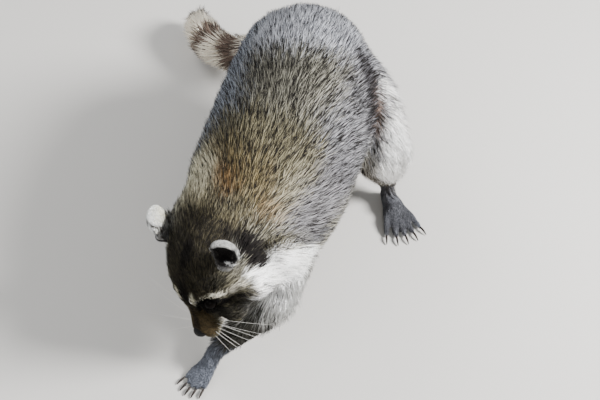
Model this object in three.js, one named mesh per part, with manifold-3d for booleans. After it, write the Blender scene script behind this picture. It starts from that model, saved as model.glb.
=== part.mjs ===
// A life-size raccoon, hunched over its forepaws and digging. Millimetres, +Z up, the floor is z = 0.
// The animal faces -Y and its left side is +X. The solids reach to the tips of the coat.
import * as THREE from "three";
import { mergeVertices } from "three/addons/utils/BufferGeometryUtils.js";
import Module from "manifold-3d";

const wasm = await Module();
wasm.setup();

// ---------------------------------------------------------------- driving sizes

const GAP = 0.3; // the width of the thin cuts between neighbouring parts
const FORM_ALLOWANCE = 1;
const FLOOR_SINK = 1.2; // how much of each sole the floor cuts to a small flat

const TRUNK_SIDES = 16;
const HEAD_SIDES = 16;
const LIMB_SIDES = 9;
const TOE_SIDES = 6;
const CLAW_SIDES = 5;

// The head's own frame: +x to its left, -y to its nose, +z to its crown, origin in the skull between the ears.
const HEAD_CENTRE = new THREE.Vector3(-43, -124, 150);
const HEAD_YAW = -14;
const HEAD_PITCH = 42; // degrees, nose down
const HEAD_ROLL = -21.5; // degrees, left side up

const EYE_RADIUS = 8;
const EYE_PLACE = { aside: 28, forward: 48, up: 3 };
const EAR_PLACE = { aside: 51, forward: -4, up: 24 };
const EAR_HEIGHT = 47; // from the base to the tip
const EAR_HALF_WIDTH = 22;
const EAR_THICKNESS = 12;
const EAR_ROOT = 8; // the height in the ear's own frame where the cup starts
const EAR_LEAN = { back: -40, out: 16 }; // degrees
const EAR_TURN = { left: 20, right: -60 }; // the right ear listens backwards

const TAIL_RADIUS = 34; // to the tips of the hairs
const CLAW_LENGTH = 10;
const CLAW_RADIUS = 1.9;
const FINGERS = 5;

// ---------------------------------------------------------------- helpers

const vec = (p) => new THREE.Vector3(...p);

// A closed mesh's geometry as a manifold solid.
function solidOf(geometry) {
  const bare = geometry.index ? geometry.toNonIndexed() : geometry.clone();
  bare.deleteAttribute("normal");
  bare.deleteAttribute("uv");
  const merged = mergeVertices(bare, 1e-4);
  return new wasm.Manifold(
    new wasm.Mesh({
      numProp: 3,
      vertProperties: merged.attributes.position.array,
      triVerts: new Uint32Array(merged.index.array),
    }),
  );
}

// A solid as a named mesh.
function meshOf(name, solid, material) {
  const { vertProperties, triVerts } = solid.getMesh();
  const geometry = new THREE.BufferGeometry();
  geometry.setAttribute("position", new THREE.BufferAttribute(new Float32Array(vertProperties), 3));
  geometry.setIndex(new THREE.BufferAttribute(new Uint32Array(triVerts), 1));
  geometry.computeVertexNormals();
  const mesh = new THREE.Mesh(geometry, material);
  mesh.name = name;
  return mesh;
}

const joined = (solids) => solids.reduce((all, next) => all.add(next));

// Without the slivers that joins leave where two surfaces run close together.
const tidied = (solid, tolerance) => solid.asOriginal().simplify(tolerance);

// The largest body of a solid, without any crumbs that a cut leaves.
const largest = (solid) => solid.decompose().reduce((a, b) => (b.volume() > a.volume() ? b : a));

// A closed body swept along a smooth path. Each station is { at, wide, up, down }: its centre and how far
// it reaches to the sides, above and below. "crown" is the direction that counts as above, and "margin"
// grows the body all round.
function sweep(stations, { sides, stepsBetween = 2, crown = [0, 0, 1], margin = 0 }) {
  const path = new THREE.CatmullRomCurve3(stations.map((s) => vec(s.at)));
  const reach = new THREE.CatmullRomCurve3(
    stations.map((s) =>
      new THREE.Vector3(s.wide, s.up ?? s.wide, s.down ?? s.up ?? s.wide).addScalar(margin),
    ),
    false,
    "catmullrom",
    0.4,
  );
  const rings = (stations.length - 1) * stepsBetween;
  const positions = [];
  const addPoint = (p) => positions.push(p.x, p.y, p.z);
  for (let ring = 0; ring <= rings; ring++) {
    const u = ring / rings;
    const centre = path.getPoint(u);
    const along = path.getTangent(u);
    const across = new THREE.Vector3().crossVectors(along, vec(crown)).normalize();
    const above = new THREE.Vector3().crossVectors(across, along).normalize();
    const size = reach.getPoint(u);
    for (let side = 0; side < sides; side++) {
      const turn = (2 * Math.PI * side) / sides;
      const height = Math.sin(turn) * (Math.sin(turn) > 0 ? size.y : size.z);
      addPoint(
        centre
          .clone()
          .addScaledVector(across, Math.cos(turn) * size.x)
          .addScaledVector(above, height),
      );
    }
  }
  addPoint(path.getPoint(0).addScaledVector(path.getTangent(0), -margin));
  addPoint(path.getPoint(1).addScaledVector(path.getTangent(1), margin));
  const first = (rings + 1) * sides;
  const index = [];
  for (let side = 0; side < sides; side++) {
    const next = (side + 1) % sides;
    for (let ring = 0; ring < rings; ring++) {
      const a = ring * sides + side;
      const b = ring * sides + next;
      index.push(a, b, a + sides, b, b + sides, a + sides);
    }
    index.push(first, next, side);
    index.push(first + 1, rings * sides + side, rings * sides + next);
  }
  const geometry = new THREE.BufferGeometry();
  geometry.setAttribute("position", new THREE.BufferAttribute(new Float32Array(positions), 3));
  geometry.setIndex(index);
  const solid = solidOf(geometry);
  if (solid.volume() > 0) return solid;
  for (let i = 0; i < index.length; i += 3) [index[i], index[i + 1]] = [index[i + 1], index[i]];
  geometry.setIndex(index);
  return solidOf(geometry);
}

// An ellipsoid with the given half-sizes, grown by a margin.
function ellipsoid(centre, [rx, ry, rz], { margin = 0, sides = 10 } = {}) {
  const geometry = new THREE.SphereGeometry(1, sides, Math.round(sides * 0.6));
  geometry.scale(rx + margin, ry + margin, rz + margin);
  geometry.translate(...centre);
  return solidOf(geometry);
}

// A box in a frame of its own, grown by a margin on every side.
function box([sx, sy, sz], frame, margin = 0) {
  const geometry = new THREE.BoxGeometry(sx + 2 * margin, sy + 2 * margin, sz + 2 * margin);
  geometry.applyMatrix4(frame);
  return solidOf(geometry);
}

// A frame at a place whose z axis points along a direction.
function frameAlong(place, direction) {
  const turn = new THREE.Quaternion().setFromUnitVectors(
    new THREE.Vector3(0, 0, 1),
    vec(direction).normalize(),
  );
  return new THREE.Matrix4().compose(vec(place), turn, new THREE.Vector3(1, 1, 1));
}

// A cutting region: everything of the body beyond a plane, within a box of the given reach.
function regionBeyond(place, direction, [wide, deep, far]) {
  const frame = frameAlong(place, direction).multiply(new THREE.Matrix4().makeTranslation(0, 0, far / 2));
  return (margin) => box([wide, deep, far], frame, margin);
}

// ---------------------------------------------------------------- the head

const headFrame = new THREE.Matrix4().compose(
  HEAD_CENTRE,
  new THREE.Quaternion().setFromEuler(
    new THREE.Euler(
      THREE.MathUtils.degToRad(HEAD_PITCH),
      THREE.MathUtils.degToRad(HEAD_ROLL),
      THREE.MathUtils.degToRad(HEAD_YAW),
      "ZXY",
    ),
  ),
  new THREE.Vector3(1, 1, 1),
);

// A solid made in the head's own frame, set in its place on the animal.
const onHead = (solid) => solid.transform(headFrame.toArray());

const bothSides = (make) => [make(1), make(-1)];

// The skull and the muzzle as one tapering body, from the occiput to the nose.
const skullAndMuzzle = (margin) =>
  sweep(
    [
      { at: [0, 54, 8], wide: 20, up: 18, down: 20 },
      { at: [0, 40, 4], wide: 48, up: 35, down: 38 },
      { at: [0, 14, 0], wide: 61, up: 46, down: 49 },
      { at: [0, -14, -3], wide: 60, up: 45, down: 48 },
      { at: [0, -37, -9], wide: 49, up: 37, down: 41 },
      { at: [0, -52, -17], wide: 34, up: 26, down: 33 },
      { at: [0, -64, -25], wide: 24, up: 20, down: 24 },
      { at: [0, -79, -31], wide: 19.5, up: 16, down: 17 },
      { at: [0, -92, -34], wide: 15.5, up: 13, down: 12 },
      { at: [0, -98, -34], wide: 6, up: 6, down: 5 },
    ],
    { sides: HEAD_SIDES, margin },
  );

const lowerJaw = (margin) =>
  sweep(
    [
      { at: [0, -30, -44], wide: 26, up: 12, down: 12 },
      { at: [0, -60, -47], wide: 23, up: 10, down: 9 },
      { at: [0, -77, -49], wide: 14, up: 7, down: 6 },
      { at: [0, -85, -49], wide: 5, up: 3, down: 3 },
    ],
    { sides: LIMB_SIDES, margin },
  );

// The ruff of long cheek hair, the jowl, the brow over the eye and the pad that carries the whiskers, on one side.
const cheekBrowAndLip = (side, margin) =>
  joined([
    ellipsoid([side * 34, -43, -32], [22, 24, 20], { margin, sides: 12 }),
    ellipsoid([side * 46, 4, -22], [43, 41, 36], { margin, sides: 14 }),
    ellipsoid([side * 24, -29, 16], [18, 12, 12], { margin }),
    ellipsoid([side * 10, -82, -38], [12, 15, 10], { margin, sides: 10 }),
  ]);

const nosePad = (margin = 0) => onHead(ellipsoid([0, -98, -27], [9, 7, 7.5], { margin, sides: 12 }));

const eyeBall = (side, margin = 0) =>
  onHead(
    ellipsoid([side * EYE_PLACE.aside, -EYE_PLACE.forward, EYE_PLACE.up], Array(3).fill(EYE_RADIUS), {
      margin,
      sides: 12,
    }),
  );

// An ear's frame: its z axis runs from the base to the tip, its -y axis looks out of the opening.
function earFrame(side) {
  const lean = new THREE.Euler(
    THREE.MathUtils.degToRad(EAR_LEAN.back),
    THREE.MathUtils.degToRad(side * EAR_LEAN.out),
    THREE.MathUtils.degToRad(side > 0 ? EAR_TURN.left : EAR_TURN.right),
    "YXZ",
  );
  return new THREE.Matrix4().compose(
    new THREE.Vector3(side * EAR_PLACE.aside, -EAR_PLACE.forward, EAR_PLACE.up),
    new THREE.Quaternion().setFromEuler(lean),
    new THREE.Vector3(1, 1, 1),
  );
}

const EAR_HALF_HEIGHT = EAR_HEIGHT * 0.66; // the egg's lower third is sunk in the head
const onEar = (side, solid) => onHead(solid.transform(earFrame(side).toArray()));
const earEgg = (side, margin = 0) =>
  onEar(
    side,
    ellipsoid([0, 0, EAR_HEIGHT - EAR_HALF_HEIGHT], [EAR_HALF_WIDTH, EAR_THICKNESS, EAR_HALF_HEIGHT], {
      margin,
      sides: 14,
    }),
  );

// A rounded cup: a flattened egg with a second egg scooped out of its front, above the root.
function ear(side) {
  const scoop = ellipsoid(
    [0, -EAR_THICKNESS * 0.68, EAR_HEIGHT - EAR_HALF_HEIGHT],
    [EAR_HALF_WIDTH * 0.87, EAR_THICKNESS, EAR_HALF_HEIGHT * 0.9],
  );
  const root = box([90, 90, 60], new THREE.Matrix4().makeTranslation(0, 0, EAR_ROOT + 3 - 30));
  return earEgg(side).subtract(onEar(side, scoop.subtract(root)));
}

const headFlesh = (margin) =>
  onHead(
    joined([
      skullAndMuzzle(margin),
      lowerJaw(margin),
      ...bothSides((side) => cheekBrowAndLip(side, margin)),
    ]),
  );

// ---------------------------------------------------------------- the trunk, the neck and the tail

const trunkFlesh = () =>
  sweep(
    [
      { at: [-4, 292, 158], wide: 22, up: 24, down: 26 },
      { at: [-2, 276, 158], wide: 62, up: 55, down: 60 },
      { at: [1, 236, 160], wide: 89, up: 84, down: 84 },
      { at: [5, 176, 162], wide: 99, up: 98, down: 92 },
      { at: [8, 110, 163], wide: 105, up: 104, down: 98 },
      { at: [6, 48, 160], wide: 105, up: 103, down: 96 },
      { at: [0, -12, 154], wide: 104, up: 96, down: 90 },
      { at: [-8, -60, 146], wide: 94, up: 80, down: 80 },
      { at: [-20, -98, 134], wide: 70, up: 60, down: 66 },
      { at: [-28, -122, 124], wide: 36, up: 34, down: 40 },
    ],
    { sides: TRUNK_SIDES },
  );

const neckFlesh = (margin) =>
  sweep(
    [
      { at: [-8, -10, 166], wide: 66, up: 56, down: 60 },
      { at: [-22, -58, 164], wide: 76, up: 58, down: 62 },
      { at: [-33, -90, 158], wide: 74, up: 54, down: 58 },
      { at: [-41, -114, 150], wide: 58, up: 40, down: 46 },
    ],
    { sides: TRUNK_SIDES, margin },
  );

const tailFlesh = (margin) =>
  sweep(
    [
      { at: [-6, 250, 158], wide: 24 },
      { at: [-20, 284, 140], wide: 30 },
      { at: [-54, 311, 102], wide: TAIL_RADIUS },
      { at: [-98, 321, 64], wide: TAIL_RADIUS },
      { at: [-146, 332, 46], wide: TAIL_RADIUS },
      { at: [-185, 362, 40], wide: 34 },
      { at: [-206.63, 398, 34], wide: 29 },
      { at: [-211, 429.5, 27], wide: 16 },
    ],
    { sides: 12, margin },
  );

// ---------------------------------------------------------------- the limbs

// "paw" is the middle of the palm or sole on the floor, and "heading" turns it from -Y towards +X, in degrees.
const FORELEGS = {
  left: {
    shoulder: [44, -50, 134],
    elbow: [38, -123, 84],
    wrist: [-29, -170, 25],
    paw: [-37, -186],
    heading: -24,
  },
  right: {
    shoulder: [-52, -36, 130],
    elbow: [-64, -2, 80],
    wrist: [-58, -30, 25],
    paw: [-60, -48],
    heading: -6,
  },
};
const HINDLEGS = {
  left: {
    hip: [50, 206, 160],
    knee: [126, 118, 112],
    hock: [130, 144, 34],
    paw: [151, 108],
    heading: 29,
  },
  right: {
    hip: [-40, 206, 150],
    knee: [-58, 112, 88],
    hock: [-62, 150, 34],
    paw: [-66, 112],
    heading: -8,
  },
};
const FOREPAW = {
  palm: { back: 18, front: 12, halfWidth: 14.5, height: 11 },
  toe: { length: 25, radius: 3.9, spacing: 5.6, fan: 5 },
};
const HINDFOOT = {
  palm: { back: 40, front: 10, halfWidth: 16, height: 13 },
  toe: { length: 36, radius: 5, spacing: 7.2, fan: 9 },
};

const between = (a, b, share) => new THREE.Vector3().lerpVectors(vec(a), vec(b), share).toArray();

const forelegFlesh = ({ shoulder, elbow, wrist }, margin = 0) =>
  joined([
    sweep(
      [
        { at: shoulder, wide: 43 },
        { at: between(shoulder, elbow, 0.6), wide: 36 },
        { at: elbow, wide: 27 },
      ],
      { sides: LIMB_SIDES, crown: [1, 0, 0], margin },
    ),
    ellipsoid(shoulder, [43, 43, 43], { margin, sides: 14 }),
    ellipsoid(elbow, [28, 28, 28], { margin, sides: 12 }),
    sweep(
      [
        { at: elbow, wide: 27 },
        { at: between(elbow, wrist, 0.4), wide: 22 },
        { at: between(elbow, wrist, 0.8), wide: 17 },
        { at: wrist, wide: 14.5 },
      ],
      { sides: LIMB_SIDES, crown: [1, 0, 0], margin },
    ),
  ]);

const hindlegFlesh = ({ hip, knee, hock }, margin = 0) =>
  joined([
    sweep(
      [
        { at: hip, wide: 56 },
        { at: between(hip, knee, 0.5), wide: 60 },
        { at: knee, wide: 44 },
      ],
      { sides: 14, margin },
    ),
    ellipsoid(knee, [44, 44, 44], { sides: 14, margin }),
    sweep(
      [
        { at: knee, wide: 40 },
        { at: between(knee, hock, 0.5), wide: 32 },
        { at: between(knee, hock, 0.85), wide: 22 },
        { at: hock, wide: 17 },
      ],
      { sides: LIMB_SIDES, crown: [1, 0, 0], margin },
    ),
  ]);

const pawFrame = ({ paw, heading }) =>
  new THREE.Matrix4()
    .makeTranslation(paw[0], paw[1], 0)
    .multiply(new THREE.Matrix4().makeRotationZ(THREE.MathUtils.degToRad(heading)));

// Each toe's root and direction in the paw's own frame, where the toes point to -y.
function toePlaces({ palm, toe }) {
  return Array.from({ length: FINGERS }, (_, i) => {
    const offset = i - (FINGERS - 1) / 2;
    const fan = THREE.MathUtils.degToRad(offset * toe.fan);
    const setBack = Math.abs(offset) ** 2 * 1.6; // the outer toes start further back
    return {
      root: new THREE.Vector3(offset * toe.spacing, -palm.front + setBack, 0),
      direction: new THREE.Vector3(Math.sin(fan), -Math.cos(fan), 0),
    };
  });
}

function pawFlesh(limb, shape, ankle) {
  const { palm, toe } = shape;
  const frame = pawFrame(limb);
  const low = (height) => height - FLOOR_SINK;
  const at = (p, along, z) => p.clone().addScaledVector(along, 1).setZ(z).toArray();
  const toes = toePlaces(shape).map(({ root, direction }) => {
    const step = (share) => direction.clone().multiplyScalar(toe.length * share);
    return sweep(
      [
        { at: at(root, step(-0.3), low(toe.radius * 1.7)), wide: toe.radius },
        { at: at(root, step(0.3), toe.radius * 1.9), wide: toe.radius },
        { at: at(root, step(0.72), low(toe.radius * 1.2)), wide: toe.radius * 0.95 },
        { at: at(root, step(1), low(toe.radius * 0.9)), wide: toe.radius * 0.6 },
      ],
      { sides: TOE_SIDES, stepsBetween: 1 },
    );
  });
  const sole = sweep(
    [
      { at: [0, palm.back, low(palm.height * 0.8)], wide: palm.halfWidth * 0.55, up: palm.height * 0.8 },
      { at: [0, palm.back * 0.6, low(palm.height)], wide: palm.halfWidth * 0.8, up: palm.height },
      { at: [0, 0, low(palm.height * 0.85)], wide: palm.halfWidth, up: palm.height * 0.85 },
      { at: [0, -palm.front, low(palm.height * 0.65)], wide: palm.halfWidth * 0.95, up: palm.height * 0.65 },
      { at: [0, -palm.front - 6, low(palm.height * 0.5)], wide: palm.halfWidth * 0.6, up: palm.height * 0.5 },
    ],
    { sides: LIMB_SIDES },
  );
  const inPlace = joined([sole, ...toes]).transform(frame.toArray());
  const instep = vec([0, 0, palm.height]).applyMatrix4(frame).toArray();
  return inPlace.add(
    sweep(
      [
        { at: ankle, wide: 14.5 },
        { at: between(ankle, instep, 0.5), wide: 13 },
        { at: instep, wide: 10.5 },
      ],
      { sides: LIMB_SIDES, crown: [1, 0, 0] },
    ),
  );
}

// One claw: a curved spike that leaves the end of a toe and stops just above the floor.
function claw(limb, shape, { root, direction }, margin = 0) {
  const { toe } = shape;
  const place = (share, z) =>
    root
      .clone()
      .addScaledVector(direction, toe.length + CLAW_LENGTH * share)
      .setZ(z)
      .toArray();
  return sweep(
    [
      { at: place(-0.35, toe.radius), wide: CLAW_RADIUS * 0.8 },
      { at: place(0.15, toe.radius), wide: CLAW_RADIUS },
      { at: place(0.6, toe.radius * 0.75), wide: CLAW_RADIUS * 0.75 },
      { at: place(1, toe.radius * 0.3), wide: CLAW_RADIUS * 0.28 },
    ],
    { sides: CLAW_SIDES, stepsBetween: 1, margin },
  ).transform(pawFrame(limb).toArray());
}

// ---------------------------------------------------------------- finishes

const finish = (color, roughness) => new THREE.MeshStandardMaterial({ color, roughness, metalness: 0 });
const GRIZZLED = finish(0x8a8478, 0.85);
const NAPE = finish(0xa08a66, 0.85);
const FACE = finish(0x6f6a60, 0.85);
const EAR_FUR = finish(0xd4d3cf, 0.8);
const EYE = finish(0x0c0a09, 0.08);
const NOSE = finish(0x171413, 0.4);
const LEG = finish(0x9a9588, 0.8);
const FOOT = finish(0x7b776f, 0.7);
const TAIL = finish(0xb7a685, 0.85);
const CLAW = finish(0x2b2724, 0.35);

// ---------------------------------------------------------------- putting it together

const model = new THREE.Group();
const addPart = (name, solid, material) => model.add(meshOf(name, solid, material));

const limbs = [
  ...Object.entries(FORELEGS).map(([side, limb]) => ({ side, limb, shape: FOREPAW, paw: "forepaw" })),
  ...Object.entries(HINDLEGS).map(([side, limb]) => ({ side, limb, shape: HINDFOOT, paw: "hindfoot" })),
];
const fleshOfPaw = ({ limb, shape }) => pawFlesh(limb, shape, limb.wrist ?? limb.hock);

let flesh = joined([
  trunkFlesh(),
  neckFlesh(0),
  tailFlesh(0),
  headFlesh(0),
  ...bothSides((side) => ear(side)),
  ...Object.values(FORELEGS).map((limb) => forelegFlesh(limb)),
  ...Object.values(HINDLEGS).map((limb) => hindlegFlesh(limb)),
  ...limbs.map(fleshOfPaw),
]);
const underFloor = box([2000, 2000, 200], new THREE.Matrix4().makeTranslation(0, 0, -100));
flesh = tidied(flesh.subtract(underFloor), 0.4);

for (const [name, side] of [
  ["left", 1],
  ["right", -1],
]) {
  addPart(`eye_${name}`, eyeBall(side), EYE);
  flesh = flesh.subtract(eyeBall(side, GAP));
}
addPart("nose", nosePad(), NOSE);
flesh = flesh.subtract(nosePad(GAP));

for (const { side, limb, shape, paw } of limbs) {
  toePlaces(shape).forEach((place, i) => {
    addPart(`${paw}_${side}_claw_${i + 1}`, claw(limb, shape, place), CLAW);
    flesh = flesh.subtract(claw(limb, shape, place, GAP));
  });
}

// Takes one part off the flesh: what lies in the region and, where a form is given, in that form too. The
// form is a little larger than the flesh it matches, so that the two surfaces stay clear of each other.
function takeOff(name, material, region, form) {
  const cutter = (margin) =>
    form ? form(margin + FORM_ALLOWANCE).intersect(region(margin)) : region(margin);
  addPart(name, largest(flesh.intersect(cutter(0))), material);
  flesh = flesh.subtract(cutter(GAP));
}

const headAhead = (margin) => onHead(box([200, 190, 190], new THREE.Matrix4().makeTranslation(0, -65, -10), margin));
for (const [name, side] of [
  ["left", 1],
  ["right", -1],
]) {
  const aboveRoot = (margin) =>
    onEar(side, box([90, 90, 80], new THREE.Matrix4().makeTranslation(0, 0, EAR_ROOT + 40), margin));
  takeOff(`ear_${name}`, EAR_FUR, aboveRoot, (margin) => earEgg(side, margin));
}
takeOff("head", FACE, headAhead, headFlesh);

for (const { side, limb, paw } of limbs) {
  const joint = limb.wrist ?? limb.hock;
  const knee = limb.elbow ?? limb.knee;
  const lean = paw === "forepaw" ? 1 : 0; // the forepaw's cut leans with the forearm, the hind foot's lies flat
  const away = vec(joint).sub(vec(knee)).multiplyScalar(lean).setZ(-60);
  takeOff(`${paw}_${side}`, FOOT, regionBeyond(joint, away.toArray(), [200, 200, 90]));
}
for (const [side, limb] of Object.entries(FORELEGS)) {
  const away = vec(limb.elbow).sub(vec(limb.shoulder)).toArray();
  const belowShoulder = regionBeyond(between(limb.shoulder, limb.elbow, 0.3), away, [260, 260, 200]);
  takeOff(`foreleg_${side}`, LEG, belowShoulder, (margin) => forelegFlesh(limb, margin));
}
for (const [side, limb] of Object.entries(HINDLEGS)) {
  const out = Math.sign(limb.knee[0]);
  const belowKnee = regionBeyond([limb.knee[0], limb.knee[1] + 10, limb.knee[2] - 32], [0, 0.15, -1], [110, 120, 90]);
  takeOff(`shank_${side}`, LEG, belowKnee, (margin) => hindlegFlesh(limb, margin));
  takeOff(
    `thigh_${side}`,
    GRIZZLED,
    regionBeyond([out * 62, 160, 140], [out, -0.1, -0.05], [190, 200, 160]),
    (margin) => hindlegFlesh(limb, margin),
  );
}
takeOff("neck", NAPE, regionBeyond([-20, -64, 150], [-0.25, -1, -0.1], [300, 300, 120]));
for (const [name, place, direction] of [
  ["tail_tip", [-184, 358, 43], [-0.7, 0.7, 0]],
  ["tail_middle", [-90, 319, 70], [-1, 0.2, -0.3]],
  ["tail_base", [-12, 268, 150], [-0.3, 0.9, -0.3]],
]) {
  takeOff(name, TAIL, regionBeyond(place, direction, [150, 150, 170]), tailFlesh);
}
addPart("trunk", largest(flesh), GRIZZLED);

// The origin is on the floor, under the middle of the animal's length and breadth.
const middle = new THREE.Box3().setFromObject(model).getCenter(new THREE.Vector3());
model.position.set(-middle.x, -middle.y, 0);

export default model;
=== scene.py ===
# %% [markdown]
# # A raccoon at life size
# The model is a still animal, as in a museum: it stands with its head lowered, reaches out with its
# left forepaw and sweeps its ringed tail to one side. A frame of plain solids already gives the
# outline out to the tips of the coat. This lesson dresses the frame: a skin inside it, a coat of
# solid locks of fur over the skin, and then eyes, nose, claws and whiskers. All lengths are in
# metres, +Z is up and the head looks towards -Y.

import math

import bmesh
import bpy
import numpy as np
import openvdb as vdb
from mathutils import Matrix, Vector
from mathutils.kdtree import KDTree


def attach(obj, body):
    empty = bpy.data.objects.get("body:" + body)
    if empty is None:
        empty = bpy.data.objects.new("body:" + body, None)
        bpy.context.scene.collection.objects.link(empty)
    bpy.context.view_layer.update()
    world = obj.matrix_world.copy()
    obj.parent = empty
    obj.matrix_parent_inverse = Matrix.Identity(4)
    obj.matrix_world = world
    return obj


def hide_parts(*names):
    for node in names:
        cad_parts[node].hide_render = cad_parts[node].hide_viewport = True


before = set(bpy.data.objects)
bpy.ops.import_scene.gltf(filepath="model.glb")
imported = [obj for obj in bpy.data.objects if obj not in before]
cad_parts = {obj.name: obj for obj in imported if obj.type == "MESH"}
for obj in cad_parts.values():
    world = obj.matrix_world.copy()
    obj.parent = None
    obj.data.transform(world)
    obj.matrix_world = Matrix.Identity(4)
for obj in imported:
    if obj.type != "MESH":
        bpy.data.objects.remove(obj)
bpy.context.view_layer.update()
MM = 0.001

# %% [markdown]
# ## The camera
# The animal is seen from above and a little from its left side, close enough for some perspective.
# The view is fixed by an azimuth, an elevation, a distance and the point that it looks at. A long
# lens on a 36 mm sensor sees 30 degrees across.

# %% Place the camera
VIEW_AZIMUTH = math.radians(12)
VIEW_ELEVATION = math.radians(50)
VIEW_DISTANCE = 1.4
VIEW_TARGET = Vector((0.0573, -0.1012, 0.130))
VIEW_ACROSS = math.radians(30)

SENSOR = 36  # mm


def placed(name, data):
    """A new object of the scene that shows this data."""
    thing = bpy.data.objects.new(name, data)
    bpy.context.scene.collection.objects.link(thing)
    return thing


towards_camera = Vector((math.sin(VIEW_AZIMUTH) * math.cos(VIEW_ELEVATION),
                         -math.cos(VIEW_AZIMUTH) * math.cos(VIEW_ELEVATION),
                         math.sin(VIEW_ELEVATION)))
camera = placed("camera", bpy.data.cameras.new("camera"))
camera.data.sensor_width = SENSOR
camera.data.lens = SENSOR / 2 / math.tan(VIEW_ACROSS / 2)
camera.location = VIEW_TARGET + VIEW_DISTANCE * towards_camera
camera.rotation_euler = towards_camera.to_track_quat("Z", "Y").to_euler()
bpy.context.scene.camera = camera
print("camera at", [round(c, 3) for c in camera.location])

# %% [markdown]
# ## The animal's bones
# Everything that varies over the body, such as how long the fur is, which way it lies and how deep
# the skin lies under it, is told along a few bones. A bone here is a line from one named place to
# another with a thickness around it. A point on the body takes its values from the bones close to
# it, blended smoothly, so no region has a hard edge. The head has its own turned frame, in which
# its bones are easy to state.

# %% The head's frame
HEAD_CENTRE = Vector((-0.0257, -0.2252, 0.150))
HEAD_TURN = Matrix.Rotation(math.radians(-14), 4, "Z")
HEAD_NOD = Matrix.Rotation(math.radians(42), 4, "X")
HEAD_TILT = Matrix.Rotation(math.radians(-21.5), 4, "Y")
head_frame = Matrix.Translation(HEAD_CENTRE) @ HEAD_TURN @ HEAD_NOD @ HEAD_TILT
head_axes = np.array(head_frame.to_3x3())  # columns: the head's left, its back, its crown


def on_head(x, y, z):
    """A place in the head's frame, in millimetres, as a place on the model."""
    return tuple(head_frame @ Vector((x * MM, y * MM, z * MM)))


def in_head(points):
    """Places on the model, as millimetres in the head's frame."""
    return (points - np.array(HEAD_CENTRE)) @ head_axes / MM


NOSE = on_head(0, -96.5, -27)
print("nose at", [round(c, 3) for c in NOSE])

# %% The bones and what grows on them
# name: start, end, thickness around the line, length of a lock of fur, depth of the skin under
# the tips, width of a lock, all in millimetres, and the region whose markings it carries
BONES = {
    "shoulders": ((9, -161, 146), (23, -53, 160), 92, 40, 19, 1.7, "back"),
    "ribs": ((23, -53, 160), (25, 9, 163), 100, 42, 20, 1.7, "back"),
    "loins": ((25, 9, 163), (22, 75, 162), 96, 44, 21, 1.7, "back"),
    "rump": ((22, 75, 162), (15, 165, 158), 78, 46, 22, 1.7, "back"),
    "neck": ((-14, -198, 152), (-2, -150, 162), 76, 36, 16, 1.6, "back"),
    "upper_arm_left": ((61, -151, 134), (55, -224, 84), 34, 32, 11, 1.6, "leg"),
    "upper_arm_right": ((-35, -137, 130), (-47, -103, 80), 34, 24, 10, 1.5, "leg"),
    "forearm_left": ((55, -224, 84), (-12, -271, 25), 22, 16, 5.5, 1.2, "leg"),
    "forearm_right": ((-47, -103, 80), (-41, -131, 25), 22, 16, 5.5, 1.2, "leg"),
    "forepaw_left": ((-12, -271, 25), (-36, -320, 5), 13, 4.5, 0.8, 0.7, "paw"),
    "forepaw_right": ((-41, -131, 25), (-47, -182, 5), 13, 4.5, 0.8, 0.7, "paw"),
    "thigh_left": ((67, 105, 160), (143, 17, 112), 56, 36, 15, 1.7, "thigh"),
    "thigh_right": ((-23, 105, 150), (-41, 11, 88), 56, 36, 15, 1.7, "thigh"),
    "shank_left": ((143, 17, 112), (147, 43, 34), 30, 24, 8, 1.3, "leg"),
    "shank_right": ((-41, 11, 88), (-45, 49, 34), 30, 24, 8, 1.3, "leg"),
    "hindfoot_left": ((145, 45, 14), (192, -40, 5), 15, 4.5, 0.8, 0.7, "paw"),
    "hindfoot_right": ((-46, 46, 14), (-55, -40, 5), 15, 4.5, 0.8, 0.7, "paw"),
    "tail_root": ((11, 149, 158), (-37, 210, 102), 31, 40, 19, 1.6, "tail"),
    "tail_bend": ((-37, 210, 102), (-129, 231, 46), 34, 44, 22, 1.6, "tail"),
    "tail_end": ((-129, 231, 46), (-194, 328, 27), 30, 44, 20, 1.6, "tail"),
}
HEAD_BONES = {
    "skull": ((0, -20, -4), (0, 36, 4), 50, 12.5, 6, 0.85, "head"),
    "cheek_left": ((32, -14, -18), (58, 12, -26), 34, 34, 14, 1.15, "head"),
    "cheek_right": ((-32, -14, -18), (-58, 12, -26), 34, 34, 14, 1.15, "head"),
    "muzzle": ((0, -95, -34), (0, -52, -18), 17, 4.5, 1.6, 0.75, "head"),
    "chin": ((0, -85, -50), (0, -40, -46), 13, 7, 2.0, 0.8, "head"),
    "jowl_left": ((30, -52, -28), (42, -34, -34), 18, 12, 3.5, 0.9, "head"),
    "jowl_right": ((-30, -52, -28), (-42, -34, -34), 18, 12, 3.5, 0.9, "head"),
}

# %% Add the ears and gather what the bones say
EAR_HEIGHT, EAR_ROOT = 47, 6
EAR_FUR = (17, 5.5, 1.0, 0.5, "ear")  # the same numbers for both ears
SIDES = {"left": 1, "right": -1}


def ear_frame(side):
    """The ear's own frame: z from the base to the tip, -y out of the opening."""
    out, back, turn = (math.radians(angle) for angle in (side * 16, -40, 20 if side > 0 else -60))
    lean = (Matrix.Rotation(out, 4, "Y") @ Matrix.Rotation(back, 4, "X")
            @ Matrix.Rotation(turn, 4, "Z"))
    return head_frame @ Matrix.Translation(Vector((side * 51, 4, 24)) * MM) @ lean


for bone, (start, end, *rest) in HEAD_BONES.items():
    BONES[bone] = (*(tuple(Vector(on_head(*place)) / MM) for place in (start, end)), *rest)
for name, side in SIDES.items():
    ends = (ear_frame(side) @ Vector((0, 0, h * MM)) / MM for h in (EAR_ROOT, EAR_HEIGHT))
    BONES["ear_" + name] = (*map(tuple, ends), *EAR_FUR)

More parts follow.
